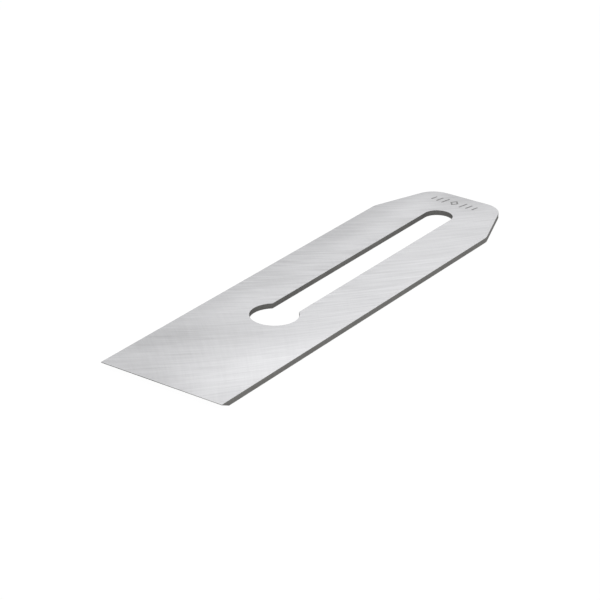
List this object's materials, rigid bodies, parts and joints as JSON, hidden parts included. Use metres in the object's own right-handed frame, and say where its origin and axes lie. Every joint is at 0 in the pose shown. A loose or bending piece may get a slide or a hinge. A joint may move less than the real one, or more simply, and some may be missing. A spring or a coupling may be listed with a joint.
{
  "type": "plane iron",
  "caption": "Flat steel cutting iron for a bench plane, with a straight ground bevel, a keyhole slot for the cap iron screw and clipped corners at the crown.",
  "frame": {"origin": "bottom centre of the iron's box, as it lies on its bevel side", "axes": "+X across the width, +Y from the cutting edge to the crown, +Z out of the flat back face"},
  "size_m": [0.0508, 0.1906, 0.002],
  "materials": {
    "ground_steel": "surface ground, with fine crossing diagonal grinding lines; sheared sides and slot walls darker and rougher"
  },
  "bodies": {
    "root": {"plane_iron": "ground_steel"}
  },
  "joints": []
}
